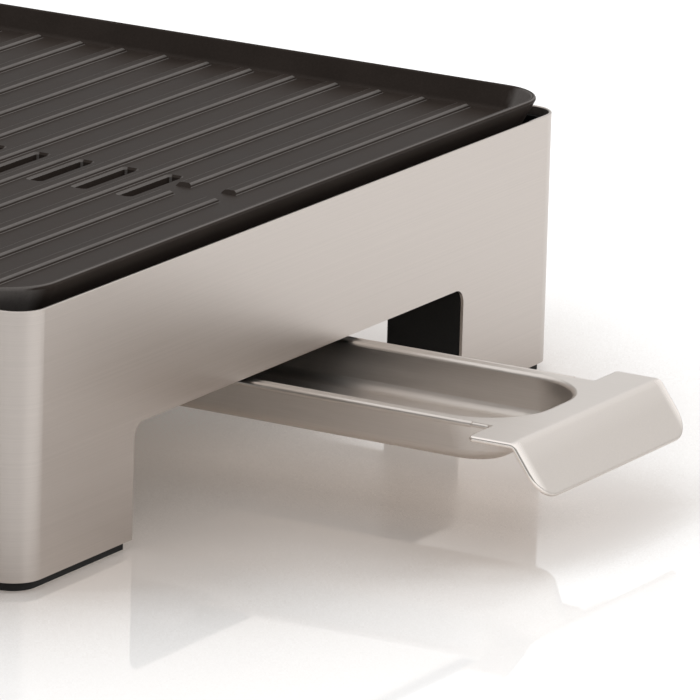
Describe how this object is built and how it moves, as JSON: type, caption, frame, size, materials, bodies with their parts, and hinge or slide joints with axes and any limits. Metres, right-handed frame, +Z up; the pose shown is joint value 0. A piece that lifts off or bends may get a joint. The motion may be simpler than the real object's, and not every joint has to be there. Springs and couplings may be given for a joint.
{
  "type": "table grill",
  "caption": "Electric table grill: brushed steel band on legs, lift-off ribbed plate with drain slots, drip tray drawn out of one end, thermostat knob and mains inlet at the other.",
  "frame": {"origin": "on the table top, under the middle of the part's outline as it stands with the tray drawn out", "axes": "+X along the length, towards the tray end; +Y across, towards the back long side; +Z up"},
  "size_m": [0.6859, 0.33, 0.0941],
  "materials": {
    "brushed_shell": "brushed along the band",
    "satin_steel": "satin",
    "black_sheet": "matt black",
    "black_plastic": "matt, heat-proof",
    "nonstick_plate": "charcoal non-stick coating on a casting",
    "bright_sheet": "bright",
    "zinc_sheet": "zinc plated",
    "bright_steel": "plated",
    "element_sheath": "heat-darkened sheath",
    "ceramic": "glazed, off-white",
    "phenolic": "moulded",
    "knob_black": "fine matt",
    "knob_white": "plain",
    "copper_tube": "bare copper",
    "lamp_red": "clear red",
    "brass_pins": "bare",
    "wire_brown": "sleeve",
    "wire_blue": "sleeve",
    "wire_green": "sleeve",
    "rubber": "matt"
  },
  "bodies": {
    "housing": {"base_pan": "black_sheet", "bulb_clip": "bright_sheet", "capillary": "copper_tube", "clamp_nut": "bright_steel", "dial_plate": "satin_steel", "earth_stud": "brass_pins", "element_clips": "bright_sheet", "element_pins": "bright_steel", "element_seals": "ceramic", "foot_back_control_end": "rubber", "foot_back_tray_end": "rubber", "foot_front_control_end": "rubber", "foot_front_tray_end": "rubber", "grease_chute": "bright_sheet", "heat_reflector": "bright_sheet", "heating_element": "element_sheath", "housing_shell": "brushed_shell", "inlet_pins": "brass_pins", "lamp_body": "phenolic", "lamp_lens": "lamp_red", "leg_liner_back_control_end": "black_plastic", "leg_liner_back_tray_end": "black_plastic", "leg_liner_front_control_end": "black_plastic", "leg_liner_front_tray_end": "black_plastic", "liner_screws": "bright_steel", "mains_inlet": "black_plastic", "plate_rest_1": "bright_steel", "plate_rest_2": "bright_steel", "plate_rest_3": "bright_steel", "plate_rest_4": "bright_steel", "rest_rings": "bright_steel", "rest_screws": "bright_steel", "ring_screws": "bright_steel", "runner_screws": "bright_steel", "sensor_bulb": "copper_tube", "side_nuts": "bright_steel", "side_studs": "bright_steel", "thermostat": "phenolic", "tray_runner_back": "zinc_sheet", "tray_runner_front": "zinc_sheet", "trim_ring": "black_plastic", "wire_earth": "wire_green", "wire_line": "wire_brown", "wire_neutral": "wire_blue", "wire_switched": "wire_brown"},
    "grill_plate": {"grill_plate": "nonstick_plate"},
    "drip_tray": {"drip_tray": "satin_steel"},
    "knob": {"knob": "knob_black", "knob_pointer": "knob_white", "thermostat_shaft": "bright_steel"}
  },
  "joints": [
    {"name": "plate_lift", "type": "slide", "parent": "housing", "child": "grill_plate", "axis": [0, 0, 1], "range_m": [0, 0.08]},
    {"name": "tray_slide", "type": "slide", "parent": "housing", "child": "drip_tray", "axis": [1, 0, 0], "range_m": [-0.103, 0.41]},
    {"name": "knob_turn", "type": "hinge", "parent": "housing", "child": "knob", "pos_m": [-0.32352, -0.055, 0.064], "axis": [1, 0, 0], "range_deg": [0, 270]}
  ]
}
